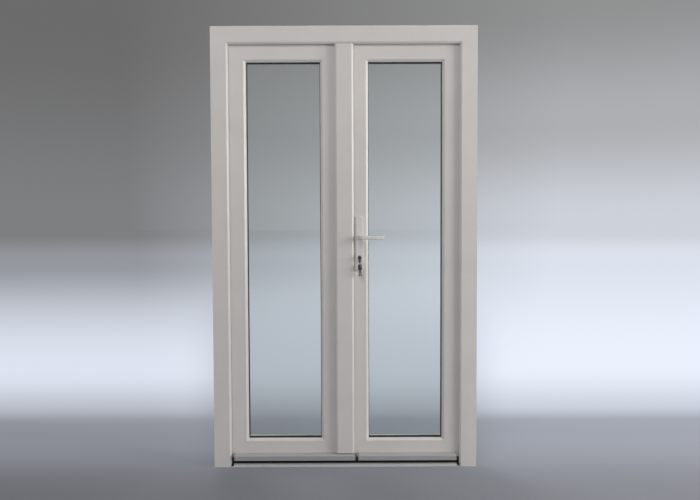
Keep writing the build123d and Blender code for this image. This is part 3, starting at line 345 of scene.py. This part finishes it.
def skin_group():
    """Draw lines, slow drifts of tone, scuffs and dust for smooth skins: colour, roughness and height."""
    group = bpy.data.node_groups.new("drawn_skin", "ShaderNodeTree")
    given = sockets(
        group, Colour=("Color", profile_white), Tone=("Float", 0.03), Dust=("Float", 0.12),
        Roughness=("Float", 0.32), Grain=("Float", 220.0), Scuffs=("Float", 0.1),
        Along=("Vector", along_upright),
    )
    result = sockets(group, out=True, Colour="Color", Roughness="Float", Height="Float")
    where = add(group, "ShaderNodeTexCoord")
    stretch = add(group, "ShaderNodeVectorMath", operation="MULTIPLY")
    join(group, where, "Object", stretch, 0)
    join(group, given, "Along", stretch, 1)
    lines = add(group, "ShaderNodeTexNoise", {"Detail": 3.0})
    join(group, stretch, "Vector", lines, "Vector")
    join(group, given, "Grain", lines, "Scale")
    cloud = add(group, "ShaderNodeTexNoise", {"Scale": 5.0, "Detail": 4.0, "Roughness": 0.6})
    join(group, where, "Object", cloud, "Vector")
    # the tone drifts a little both ways round one
    drift = ranged(group, cloud.outputs["Fac"], *tone_span, low=-1.0)
    toned = add(group, "ShaderNodeVectorMath", operation="SCALE")
    join(group, given, "Colour", toned, 0)
    factor = maths(group, "ADD", maths(group, "MULTIPLY", drift, given.outputs["Tone"]), 1.0)
    group.links.new(factor, toned.inputs["Scale"])
    # dust lies on the lowest fifth of a metre and fades upwards
    split = add(group, "ShaderNodeSeparateXYZ")
    join(group, where, "Object", split, "Vector")
    settled = ranged(group, split.outputs["Z"], 0.0, dust_height, low=1.0, high=0.0)
    patchy = maths(group, "MULTIPLY", settled, cloud.outputs["Fac"])
    dust = maths(group, "MULTIPLY", patchy, given.outputs["Dust"])
    group.links.new(blend(group, dust, toned.outputs["Vector"], dust_colour), result.inputs["Colour"])
    # short dull scuffs in rare patches
    rare = add(group, "ShaderNodeTexNoise", {"Scale": 38.0, "Detail": 2.0, "Distortion": 1.5})
    join(group, where, "Object", rare, "Vector")
    marks = ranged(group, rare.outputs["Fac"], *scuff_span)
    # roughness follows the draw lines, the scuffs and the dust
    rough = ranged(group, lines.outputs["Fac"], 0.0, 1.0, low=-line_dulling, high=line_dulling)
    rough = maths(group, "ADD", rough, given.outputs["Roughness"])
    rough = maths(group, "ADD", rough, maths(group, "MULTIPLY", marks, given.outputs["Scuffs"]))
    rough = maths(group, "ADD", rough, maths(group, "MULTIPLY", dust, dust_dulling))
    group.links.new(rough, result.inputs["Roughness"])
    join(group, lines, "Fac", result, "Height")
    return group


def weld_group():
    """A line along the four mitres of one ring of profile.

    A point lies on a mitre where its distances from the ring's nearer upright and nearer level edge are
    the same, so the line is where the difference of the two is under half a width.
    """
    group = bpy.data.node_groups.new("corner_weld", "ShaderNodeTree")
    given = sockets(
        group, Middle=("Vector", (0.0, 0.0, 0.0)), Half=("Vector", (1.0, 1.0, 1.0)), Width=("Float", 0.001)
    )
    result = sockets(group, out=True, Line="Float")
    where = add(group, "ShaderNodeTexCoord")
    off = add(group, "ShaderNodeVectorMath", operation="SUBTRACT")
    join(group, where, "Object", off, 0)
    join(group, given, "Middle", off, 1)
    size = add(group, "ShaderNodeVectorMath", operation="ABSOLUTE")
    join(group, off, "Vector", size, 0)
    inset = add(group, "ShaderNodeVectorMath", operation="SUBTRACT")
    join(group, given, "Half", inset, 0)
    join(group, size, "Vector", inset, 1)
    parts = add(group, "ShaderNodeSeparateXYZ")
    join(group, inset, "Vector", parts, "Vector")
    apart = maths(group, "ABSOLUTE", maths(group, "SUBTRACT", parts.outputs["X"], parts.outputs["Z"]))
    line = maths(group, "SUBTRACT", 1.0, maths(group, "DIVIDE", apart, given.outputs["Width"]))
    group.links.new(maths(group, "MAXIMUM", line, 0.0), result.inputs["Line"])
    return group


drawn_skin = skin_group()
corner_weld = weld_group()


def group_node(tree, group, **values):
    """A node group in a material, with its inputs' values."""
    node = tree.nodes.new("ShaderNodeGroup")
    node.node_tree = group
    for socket, value in values.items():
        node.inputs[socket].default_value = value
    return node


def skinned(name, colour, roughness, along, tone=0.03, dust=0.12, grain=220.0, bump=0.02, scuffs=0.1,
            metallic=0.0, specular=0.42, welds=None):
    """A material that takes its colour, roughness and fine relief from the drawn skin group."""
    material = new_material(name)
    tree = material.node_tree
    shader = tree.nodes["Principled BSDF"]
    shader.inputs["Metallic"].default_value = metallic
    shader.inputs["Specular IOR Level"].default_value = specular
    skin = group_node(tree, drawn_skin, Colour=colour, Tone=tone, Dust=dust, Roughness=roughness,
                      Grain=grain, Scuffs=scuffs, Along=along)
    join(tree, skin, "Roughness", shader, "Roughness")
    relief = add(tree, "ShaderNodeBump", {"Strength": bump, "Distance": relief_depth})
    join(tree, skin, "Height", relief, "Height")
    shown_colour, normal = skin.outputs["Colour"], relief.outputs["Normal"]
    if welds:
        mitre = group_node(tree, corner_weld, Middle=ring_middles[welds], Half=ring_halves[welds],
                           Width=weld_width)
        scraped = maths(tree, "MULTIPLY", mitre.outputs["Line"], weld_paleness)
        shown_colour = blend(tree, scraped, shown_colour, weld_scrape)
        groove = add(tree, "ShaderNodeBump", {"Strength": weld_groove, "Distance": relief_depth}, invert=True)
        join(tree, mitre, "Line", groove, "Height")
        tree.links.new(normal, groove.inputs["Normal"])
        normal = groove.outputs["Normal"]
    tree.links.new(shown_colour, shader.inputs["Base Color"])
    tree.links.new(normal, shader.inputs["Normal"])
    return material


def finish(material, *names):
    """Gives one material to CAD nodes."""
    for name in names:
        mesh = nodes[name].data
        mesh.materials.clear()
        mesh.materials.append(material)


ring_members = {
    "frame": (("jamb_left", "jamb_right"), ("head",)),
    "passive": (
        ("passive_hinge_stile", "passive_meeting_stile"),
        ("passive_top_rail", "passive_bottom_rail"),
    ),
    "active": (
        ("active_lock_stile", "active_hinge_stile"),
        ("active_top_rail", "active_bottom_rail"),
    ),
}
profile_roughness = 0.36
bead_roughness = 0.33
for ring, (uprights, levels) in ring_members.items():
    for kind, along, names in (("upright", along_upright, uprights), ("level", along_level, levels)):
        finish(skinned(f"{ring}_white_{kind}", profile_white, profile_roughness, along, welds=ring), *names)
finish(skinned("astragal_white", profile_white, profile_roughness, along_upright), "astragal")
for ring in ("passive", "active"):
    bead_white = skinned(f"{ring}_bead_white", profile_white, bead_roughness, along_bead, welds=ring)
    finish(bead_white, f"{ring}_glazing_beads")

# Gaskets.
# Extruded black rubber, pressed into the profiles round each pane and behind each lap.
# It is matt, a little grey where light catches its lip.

rubber = skinned("black_gasket_rubber", (0.065, 0.064, 0.064, 1.0), 0.5, along_strip, tone=0.15,
                 dust=0.15, bump=0.05, specular=0.5)
finish(rubber, "frame_gasket", "passive_gaskets", "active_gaskets")

# Glass.
# Clear double glazing, two panes with a metal spacer between them. The panes carry a faint film of haze
# in slow patches and cast a pale shadow.

haze_span = (0.45, 0.9)
haze_roughness = 0.03
clear_glass = new_material("clear_float_glass")
tree = clear_glass.node_tree
shader = tree.nodes["Principled BSDF"]
shader.inputs["Base Color"].default_value = (0.965, 0.985, 0.98, 1.0)
shader.inputs["Transmission Weight"].default_value = 1.0
shader.inputs["IOR"].default_value = 1.45
where = add(tree, "ShaderNodeTexCoord")
film = add(tree, "ShaderNodeTexNoise", {"Scale": 3.0, "Detail": 2.0})
join(tree, where, "Object", film, "Vector")
haze = ranged(tree, film.outputs["Fac"], *haze_span, high=haze_roughness)
tree.links.new(haze, shader.inputs["Roughness"])
clear = add(tree, "ShaderNodeBsdfTransparent", {"Color": (0.93, 0.95, 0.945, 1.0)})
path = add(tree, "ShaderNodeLightPath")
choose(tree, path.outputs["Is Shadow Ray"], shader.outputs["BSDF"], clear.outputs["BSDF"], "Material Output")
finish(clear_glass, "passive_glass", "active_glass")

# Threshold, weather bars and steel.
# Threshold base, weather bars and spacers are drawn aluminium, the threshold's core is black plastic.
# Reinforcement, lock, shoot bolts and keepers are zinc-plated steel, brushed along their length.

level_aluminium = skinned("drawn_aluminium", (0.56, 0.56, 0.57, 1.0), 0.42, along_bar, tone=0.05,
                          dust=0.2, grain=900.0, bump=0.2, metallic=0.45)
threshold_aluminium = skinned("threshold_aluminium", (0.80, 0.80, 0.81, 1.0), 0.42, along_bar, tone=0.05,
                              dust=0.1, grain=900.0, bump=0.2, metallic=0.25)
spacer_metal = skinned("spacer_metal", (0.35, 0.355, 0.36, 1.0), 0.4, along_strip, metallic=1.0)
plated = skinned("zinc_plated_steel", (0.58, 0.585, 0.57, 1.0), 0.36, along_steel, tone=0.08,
                 grain=400.0, bump=0.1, metallic=1.0)
# partly painted shade: the black plastic is made darker still, standing in for the shade under the weather
# bars
black_plastic_and_shade = skinned("black_moulded_plastic_and_painted_shade", (0.010, 0.010, 0.011, 1.0), 0.6, every_way, tone=0.2,
                        dust=0.05, grain=500.0, bump=0.1, specular=0.25)
grey_plastic = skinned("grey_moulded_plastic", (0.27, 0.27, 0.275, 1.0), 0.45, every_way, tone=0.08,
                       dust=0.3, grain=500.0, bump=0.1)
finish(level_aluminium, "passive_weather_bar", "active_weather_bar")
finish(threshold_aluminium, "threshold_base")
finish(spacer_metal, "passive_spacer", "active_spacer")
finish(plated, "frame_reinforcement", "passive_reinforcement", "active_reinforcement",
       "shoot_bolt_keepers", "lock_keepers", "shoot_bolt_strips", "top_shoot_bolt", "bottom_shoot_bolt",
       "lock_faceplate", "lock_cases", "drive_rods", "spindle", "hinge_pins")
finish(black_plastic_and_shade, "threshold_core", "threshold_connectors")
finish(grey_plastic, "passive_weather_bar_caps", "active_weather_bar_caps")

# Seal at the end of the passive weather bar.
# A soft black rubber cushion on the bar's end cap, domed towards the active leaf's bar, closes the
# gap between the two bars when both leaves are shut.

sharp_from = math.radians(40)


def closed_skins(name, stack):
    """A mesh of closed skins from points in the shape (skins, rows, columns, 3).

    Each row runs once round its skin, rows follow one another along it, and the first and last rows are
    closed by fans to their own middles. Where the enclosed volume comes out negative, faces are turned.
    """
    skins, rows, columns, _ = stack.shape
    ends = np.stack([stack[:, 0].mean(axis=1), stack[:, -1].mean(axis=1)], axis=1)
    points = np.concatenate([stack.reshape(skins, -1, 3), ends], axis=1)
    per_skin = rows * columns + 2
    row, column = np.meshgrid(np.arange(rows - 1), np.arange(columns), indexing="ij")
    beside = (column + 1) % columns
    a, b = row * columns + column, row * columns + beside
    c, d = b + columns, a + columns
    walls = np.stack([a, b, c, a, c, d], axis=-1).reshape(-1, 3)
    rim = np.arange(columns)
    start = np.stack([np.roll(rim, -1), rim, np.full(columns, per_skin - 2)], axis=-1)
    last = (rows - 1) * columns
    end = np.stack([last + rim, last + np.roll(rim, -1), np.full(columns, per_skin - 1)], axis=-1)
    single = np.concatenate([walls, start, end])
    first, second, third = (points[0][single[:, corner]] - points[0, 0] for corner in range(3))
    if np.einsum("ij,ij->i", first, np.cross(second, third)).sum() < 0:
        single = single[:, ::-1]
    faces = (single[None] + per_skin * np.arange(skins)[:, None, None]).reshape(-1, 3)
    mesh = bpy.data.meshes.new(name)
    mesh.from_pydata(points.reshape(-1, 3).tolist(), [], faces.tolist())
    mesh.shade_smooth()
    mesh.set_sharp_from_angle(angle=sharp_from)
    return mesh


def place_piece(name, mesh, material, body):
    """A new piece at the origin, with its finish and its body."""
    mesh.materials.append(material)
    piece = bpy.data.objects.new(name, mesh)
    bpy.context.scene.collection.objects.link(piece)
    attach(piece, body)
    return piece


def superellipse(turn, power):
    """The two coordinates of points round a superellipse of half width one."""
    return [np.sign(wave) * np.abs(wave) ** power for wave in (np.cos(turn), np.sin(turn))]


cushion_power = 0.4
cushion_turned = 0.97 * math.pi / 2
cushion_rows = 14
cushion_columns = 56


def domed_cushion(start, low, high, rise):
    """A pillow on a rounded rectangle.

    Its rows are the rectangle drawn towards its middle by the cosine of an angle and lifted along X by
    the sine of the same angle, and each row is a superellipse. The angle stops just short of a right
    angle, so that the last row stays open for its closing fan.
    """
    lift = np.linspace(0.0, cushion_turned, cushion_rows)[:, None]
    turn = np.linspace(0.0, 2 * math.pi, cushion_columns, endpoint=False)[None]
    middle, half = (low + high) / 2, (high - low) / 2
    round_y, round_z = superellipse(turn, cushion_power)
    x = start + rise * np.sin(lift) + 0 * turn
    y = middle[0] + half[0] * np.cos(lift) * round_y
    z = middle[1] + half[1] * np.cos(lift) * round_z
    return np.stack([x, y, z], axis=-1)[None]


bar_low, bar_high = (np.array(corner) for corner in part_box("passive_weather_bar_caps"))
sash_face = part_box("passive_meeting_stile")[0][1]
lap_gap = 0.0045
cushion_edge = 0.0006
cushion_top_gap = 0.0015
cushion_sink = 0.0002
cushion = domed_cushion(
    bar_high[0] - cushion_sink,
    np.array([bar_low[1] + cushion_edge, bar_low[2] + cushion_edge]),
    np.array([sash_face - lap_gap, bar_high[2] - cushion_top_gap]),
    rise=0.006,
)
place_piece("bar_end_seal", closed_skins("bar_end_seal", cushion), rubber, "passive_leaf")

# Levers, plates and hinges.
# Die-cast levers, plates and hinge leaves with a smooth white powder coat.
# Each lever leaves its plate as a round neck, bends through a quarter turn and runs level, flatter and
# softer edged, to a rounded tip that leans back to the door.

coated = skinned("white_powder_coat", (0.82, 0.81, 0.795, 1.0), 0.27, every_way, tone=0.02, dust=0.0,
                 grain=1600.0, bump=0.03, scuffs=0.2)
finish(coated, "hinge_frame_parts", "passive_hinge_sash_parts", "active_hinge_sash_parts",
       "outside_handle_plate", "inside_handle_plate")

lever_low, lever_high = (np.array(corner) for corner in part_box("outside_lever"))
neck_radius = 0.009
bend_radius = 0.016
flat_from_angle = math.radians(75)
grip_half_height = 0.0095
grip_half_thickness = 0.006
grip_waist = 0.0011
grip_squareness = 1.8
tip_round = 0.006
tip_lean = 0.003
tip_lean_length = 0.035
tip_turned = 0.98
lever_rings = 96
tip_rings = 12
lever_ring_points = 48


def smooth_step(value):
    """Nought below nought, one above one, and a smooth cubic between."""
    held = np.clip(value, 0.0, 1.0)
    return held * held * (3 - 2 * held)


def lever_skin():
    """Rings carried along the lever's centre line, for the outside lever.

    The line is straight, a quarter circle and straight again. A ring is a superellipse, a circle in the
    neck and a soft rectangle in the grip, and the last rings shrink by the cosine of an angle while
    the line advances by its sine, which rounds the tip.
    """
    axis_x = lever_low[0] + neck_radius
    level = (lever_low[2] + lever_high[2]) / 2
    grip_y = lever_low[1] + grip_half_thickness
    straight = lever_high[1] - (grip_y + bend_radius)
    arc = bend_radius * math.pi / 2
    total = straight + arc + (lever_high[0] - axis_x - bend_radius)
    tip_start = total - tip_round
    closing = np.linspace(0.0, tip_turned, tip_rings)[1:] * math.pi / 2
    way = np.concatenate([np.linspace(0.0, tip_start, lever_rings), tip_start + tip_round * np.sin(closing)])
    shrink = np.concatenate([np.ones(lever_rings), np.cos(closing)])
    angle = np.clip((way - straight) / bend_radius, 0.0, math.pi / 2)
    run = np.clip(way - straight - arc, 0.0, None)
    x = axis_x + bend_radius * (1 - np.cos(angle)) + run
    y = lever_high[1] - np.minimum(way, straight) - bend_radius * np.sin(angle)
    y = y + tip_lean * smooth_step((x - lever_high[0] + tip_lean_length) / tip_lean_length)
    flat = smooth_step(angle / flat_from_angle)
    waist = grip_waist * np.sin(math.pi * np.clip(run / (total - straight - arc), 0.0, 1.0))
    tall = (neck_radius + (grip_half_height - neck_radius) * flat - waist) * shrink
    thick = (neck_radius + (grip_half_thickness - neck_radius) * flat) * shrink
    turn = np.linspace(0.0, 2 * math.pi, lever_ring_points, endpoint=False)[None]
    round_side, round_up = superellipse(turn, 2 / (2 + grip_squareness * flat)[:, None])
    side = round_side * thick[:, None]
    up = round_up * tall[:, None]
    points_x = x[:, None] + side * np.cos(angle)[:, None]
    points_y = y[:, None] + side * np.sin(angle)[:, None]
    return np.stack([points_x, points_y, level + up], axis=-1)[None]


outside_skin = lever_skin()
door_middle_y = (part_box("active_lock_stile")[0][1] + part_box("active_lock_stile")[1][1]) / 2
inside_skin = outside_skin * (1, -1, 1) + (0, 2 * door_middle_y, 0)
for name, skin in (("outside_lever", outside_skin), ("inside_lever", inside_skin)):
    casting = closed_skins(f"{name}_casting", skin)
    lever = place_piece(f"{name}_casting", casting, coated, "lever_set")
    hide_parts(name)

# Screws.
# Plated countersunk screws with a cross recess hold the hinges, the inside plate, the lock's faceplate,
# the keepers and the shoot bolts' strips and plates.

screw_steel = skinned("screw_steel", (0.60, 0.60, 0.585, 1.0), 0.3, every_way, tone=0.06, dust=0.0,
                      grain=1500.0, bump=0.1, metallic=1.0)
head_rings = 12
head_spokes = 40
head_turn_step = 2.4
# shares of a head's radius
first_ring = 0.03
dome_rise = 0.16
dome_fall = 0.8
pit_depth = 0.34
pit_half_width = 0.17
pit_reach = 0.66
rim_drop = 0.12


def screw_heads(name, centres, outward, radius, body):
    """Screw heads in one mesh, each a disc of rings and spokes turned to its own angle.

    A head's height is a low dome, one less a share of the distance squared, minus a cross-shaped pit
    that is deep where a point is near either arm's line and within the arms' reach. The last ring drops
    under the plate.
    """
    centres = np.array(centres, float)
    outward = np.array(outward, float)
    aside = np.roll(outward, 1)
    upward = np.cross(outward, aside)
    rings = np.concatenate([np.linspace(first_ring, 1.0, head_rings), [1.0]])[:, None]
    spokes = np.arange(head_spokes)[None] * (2 * math.pi / head_spokes)
    arm = np.minimum(np.abs(rings * np.cos(spokes)), np.abs(rings * np.sin(spokes)))
    near = np.clip(1 - (arm / pit_half_width) ** 4, 0.0, 1.0)
    within = np.clip(1 - (rings / pit_reach) ** 6, 0.0, 1.0)
    height = radius * (dome_rise * (1 - dome_fall * rings**2) - pit_depth * near * within)
    height[-1] = -rim_drop * radius
    turns = np.arange(len(centres))[:, None, None] * head_turn_step
    flat_a = radius * rings * np.cos(spokes + turns)
    flat_b = radius * rings * np.sin(spokes + turns)
    points = (
        centres[:, None, None]
        + flat_a[..., None] * aside
        + flat_b[..., None] * upward
        + np.broadcast_to(height, flat_a.shape)[..., None] * outward
    )
    place_piece(name, closed_skins(name, points), screw_steel, body)


screw_radius = 0.0037
small_screw_radius = 0.0028
hinge_plate = 0.004
hinge_levels = (0.220, 0.985, 1.750)
hinge_leaf_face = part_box("jamb_right")[1][1] + hinge_plate
hinge_sash_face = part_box("active_hinge_stile")[1][1] + hinge_plate
frame_screw_x = 0.5815
frame_screw_steps = (-0.036, 0.0, 0.036)
sash_screw_xs = (0.519, 0.537)
sash_screw_steps = (-0.012, 0.012)
screw_heads(
    "frame_hinge_screws",
    [(side * frame_screw_x, hinge_leaf_face, level + step)
     for side in (-1, 1) for level in hinge_levels for step in frame_screw_steps],
    (0, 1, 0), screw_radius, "fixed_frame",
)
for side, body in ((-1, "passive_leaf"), (1, "active_leaf")):
    screw_heads(
        f"{body}_hinge_screws",
        [(side * x, hinge_sash_face, level + step)
         for level in hinge_levels for x in sash_screw_xs for step in sash_screw_steps],
        (0, 1, 0), screw_radius, body,
    )

plate_low, plate_high = (np.array(corner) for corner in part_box("inside_handle_plate"))
plate_screw_inset = 0.017
plate_rise = 0.009
screw_heads(
    "inside_plate_screws",
    [((plate_low[0] + plate_high[0]) / 2, plate_low[1] + plate_rise, level)
     for level in (plate_low[2] + plate_screw_inset, plate_high[2] - plate_screw_inset)],
    (0, 1, 0), screw_radius, "active_leaf",
)

face_low, face_high = (np.array(corner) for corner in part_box("lock_faceplate"))
groove_y = (face_low[1] + face_high[1]) / 2
faceplate_screw_levels = (0.212, 0.330, 0.500, 0.680, 0.860, 1.043, 1.130, 1.290, 1.460, 1.640, 1.758)
screw_heads(
    "faceplate_screws", [(face_low[0], groove_y, level) for level in faceplate_screw_levels],
    (-1, 0, 0), small_screw_radius, "active_leaf",
)

keeper_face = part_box("lock_keepers")[1][0]
strip_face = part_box("shoot_bolt_strips")[1][0]
keeper_screw_levels = (0.367, 0.391, 0.978, 1.106, 1.579, 1.603)
strip_screw_levels = (0.044, 0.336, 1.634, 1.926)
screw_heads(
    "keeper_screws",
    [(keeper_face, groove_y, level) for level in keeper_screw_levels]
    + [(strip_face, groove_y, level) for level in strip_screw_levels],
    (1, 0, 0), small_screw_radius, "passive_leaf",
)

plates_low, plates_high = (np.array(corner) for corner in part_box("shoot_bolt_keepers"))
keeper_plate = 0.003
keeper_screw_inset = 0.007
keeper_screw_xs = (plates_low[0] + keeper_screw_inset, plates_high[0] - keeper_screw_inset)
screw_heads(
    "threshold_keeper_screws", [(x, groove_y, plates_low[2] + keeper_plate) for x in keeper_screw_xs],
    (0, 0, 1), small_screw_radius, "fixed_frame",
)
screw_heads(
    "head_keeper_screws", [(x, groove_y, plates_high[2] - keeper_plate) for x in keeper_screw_xs],
    (0, 0, -1), small_screw_radius, "fixed_frame",
)

# Cylinder, keys and split ring.
# Satin nickel on brass: cylinder body and plug, key, spare keys, latch and bolts, brushed; plug and keys
# in a darker nickel. The ring is flat spring wire wound twice, with a step where one turn passes to the
# other.

nickel = skinned("satin_nickel", (0.26, 0.255, 0.245, 1.0), 0.3, every_way, tone=0.1, dust=0.0,
                 grain=1200.0, bump=0.1, metallic=1.0)
# the plug and keys are simply a darker nickel
darkened = skinned("darkened_nickel", (0.12, 0.118, 0.112, 1.0), 0.36, every_way, tone=0.15, dust=0.0,
                    grain=1200.0, bump=0.1, metallic=1.0)
ring_steel = skinned("ring_steel", (0.50, 0.50, 0.49, 1.0), 0.22, every_way, tone=0.06, dust=0.0,
                     grain=1800.0, bump=0.06, metallic=1.0)
finish(nickel, "cylinder_body", "latch_bolt", "deadbolt", "side_bolts")
finish(darkened, "cylinder_plug", "key", "spare_keys")

ring_low, ring_high = (np.array(corner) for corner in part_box("key_ring"))
ring_centre = (ring_low + ring_high) / 2
wire_half = (ring_high[1] - ring_low[1]) / 2
ring_radius = (ring_high[0] - ring_low[0]) / 2 - wire_half
coil_half_width = 0.00055
coil_half_thickness = 0.00033
coil_shift = 0.00035
coil_power = 0.5
coil_rings = 240
coil_ring_points = 16
step_angle = 0.45


def split_ring():
    """Flat wire wound round twice.

    The angle runs through two turns less a short gap at each end. The wire lies to one side of the
    ring's middle plane in its first turn and to the other in its second, and steps across smoothly half
    way. Its section is a superellipse, wider than it is thick.
    """
    angle = np.linspace(step_angle, 4 * math.pi - step_angle, coil_rings)[:, None]
    turn = np.linspace(0.0, 2 * math.pi, coil_ring_points, endpoint=False)[None]
    cross = smooth_step((angle - 2 * math.pi + step_angle) / (2 * step_angle)) * 2 - 1
    round_out, round_along = superellipse(turn, coil_power)
    out = ring_radius + coil_half_width * round_out
    along = coil_half_thickness * round_along + coil_shift * cross
    x = ring_centre[0] + out * np.sin(angle)
    y = ring_centre[1] + along
    z = ring_centre[2] + out * np.cos(angle)
    return np.stack([x, y, z], axis=-1)[None]


coil = closed_skins("split_key_ring", split_ring())
wound = place_piece("split_key_ring", coil, ring_steel, "hanging_keys")
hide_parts("key_ring")
